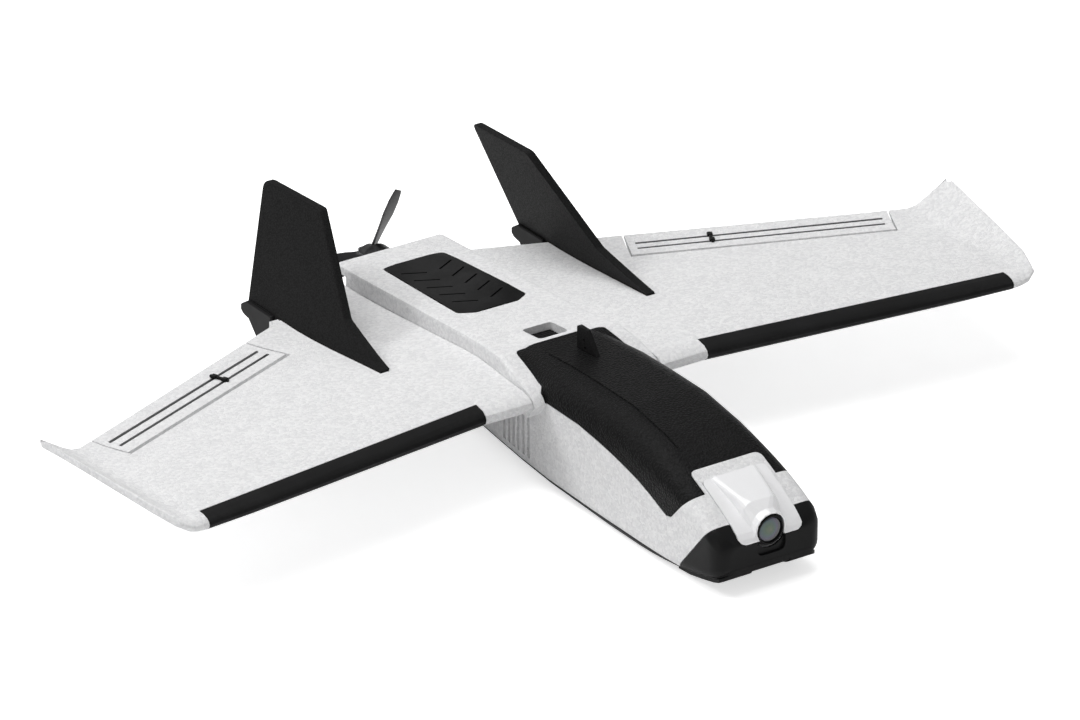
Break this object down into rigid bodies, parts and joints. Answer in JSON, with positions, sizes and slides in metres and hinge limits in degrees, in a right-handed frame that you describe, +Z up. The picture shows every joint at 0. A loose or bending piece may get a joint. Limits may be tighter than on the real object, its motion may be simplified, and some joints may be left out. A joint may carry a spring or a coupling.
{
  "type": "rc flying wing",
  "caption": "White foam flying wing with a black hatch and nose cup, forward camera, canted fins, hinged elevons and a pusher propeller",
  "frame": {"origin": "on the flat belly, on the centre line, straight below the main spar", "axes": "+X to the craft's left wing tip, -Y to the nose, +Z up; right-handed"},
  "size_m": [0.5576, 0.3743, 0.1042],
  "materials": {
    "foam": "moulded bead foam, matt",
    "black_foam": "pebbled, matt",
    "black_plastic": "fine grain, satin",
    "white_plastic": "smooth, glossy",
    "lens_glass": "coated, polished",
    "carbon": "carbon fibre, satin",
    "steel": "drawn wire",
    "winding": "enamelled copper",
    "aluminium": "turned",
    "magnet": "nickel plated",
    "wrap": "shrink film",
    "webbing": "woven strap",
    "board": "solder mask"
  },
  "bodies": {
    "airframe": {"fuselage_shell": "foam", "left_wing_panel": "foam", "right_wing_panel": "foam", "left_fin": "black_foam", "right_fin": "black_foam", "nose_bumper": "black_plastic", "belly_skid_plate": "black_plastic", "vent_cover": "black_plastic", "left_leading_edge_guard": "black_plastic", "right_leading_edge_guard": "black_plastic", "left_fin_bracket": "black_plastic", "right_fin_bracket": "black_plastic", "left_servo": "black_plastic", "right_servo": "black_plastic", "camera_body": "black_plastic", "camera_lens_barrel": "black_plastic", "motor_mount": "black_plastic", "camera_cover": "white_plastic", "camera_lens_glass": "lens_glass", "main_spar": "carbon", "motor_base": "winding", "shell_magnet": "magnet", "battery_pack": "wrap", "battery_strap": "webbing", "flight_controller": "board", "speed_controller": "board", "receiver": "board", "video_transmitter": "board"},
    "hatch": {"battery_hatch": "black_foam", "hatch_pull_tab": "black_foam", "hatch_magnet": "magnet"},
    "rotor": {"motor_bell": "aluminium", "motor_shaft": "steel", "propeller": "carbon", "prop_nut": "aluminium"},
    "left_elevon_panel": {"left_elevon": "foam", "left_elevon_strip_front": "carbon", "left_elevon_strip_rear": "carbon", "left_control_horn": "black_plastic", "left_horn_clip": "black_plastic"},
    "left_arm": {"left_servo_arm": "white_plastic"},
    "left_rod": {"left_pushrod": "steel"},
    "right_elevon_panel": {"right_elevon": "foam", "right_elevon_strip_front": "carbon", "right_elevon_strip_rear": "carbon", "right_control_horn": "black_plastic", "right_horn_clip": "black_plastic"},
    "right_arm": {"right_servo_arm": "white_plastic"},
    "right_rod": {"right_pushrod": "steel"}
  },
  "joints": [
    {"name": "left_elevon_hinge", "type": "hinge", "parent": "airframe", "child": "left_elevon_panel", "pos_m": [0.17141, 0.04637, 0.04344], "axis": [0.9118, -0.4095, 0.0288], "range_deg": [-20, 20]},
    {"name": "left_servo_pivot", "type": "hinge", "parent": "airframe", "child": "left_arm", "pos_m": [0.13323, 0.02624, 0.04267], "axis": [0.9118, -0.4095, 0.0288], "range_deg": [-20.5, 20.5]},
    {"name": "left_rod_pivot", "type": "hinge", "parent": "left_arm", "child": "left_rod", "pos_m": [0.1335, 0.02612, 0.03218], "axis": [0.9118, -0.4095, 0.0288], "range_deg": [-20.5, 20.5]},
    {"name": "right_elevon_hinge", "type": "hinge", "parent": "airframe", "child": "right_elevon_panel", "pos_m": [-0.17141, 0.04637, 0.04344], "axis": [0.9118, 0.4095, -0.0288], "range_deg": [-20, 20]},
    {"name": "right_servo_pivot", "type": "hinge", "parent": "airframe", "child": "right_arm", "pos_m": [-0.13323, 0.02624, 0.04267], "axis": [0.9118, 0.4095, -0.0288], "range_deg": [-20.5, 20.5]},
    {"name": "right_rod_pivot", "type": "hinge", "parent": "right_arm", "child": "right_rod", "pos_m": [-0.1335, 0.02612, 0.03218], "axis": [0.9118, 0.4095, -0.0288], "range_deg": [-20.5, 20.5]},
    {"name": "rotor_spin", "type": "hinge", "parent": "airframe", "child": "rotor", "pos_m": [0, 0.1637, 0.0393], "axis": [0, 1, 0], "continuous": true},
    {"name": "hatch_lift", "type": "slide", "parent": "airframe", "child": "hatch", "axis": [0, 0, 1], "range_m": [0, 0.06]}
  ],
  "couplings": [
    {"joint": "left_servo_pivot", "follows": "left_elevon_hinge", "ratio": 1},
    {"joint": "left_rod_pivot", "follows": "left_elevon_hinge", "ratio": -1},
    {"joint": "right_servo_pivot", "follows": "right_elevon_hinge", "ratio": 1},
    {"joint": "right_rod_pivot", "follows": "right_elevon_hinge", "ratio": -1}
  ]
}
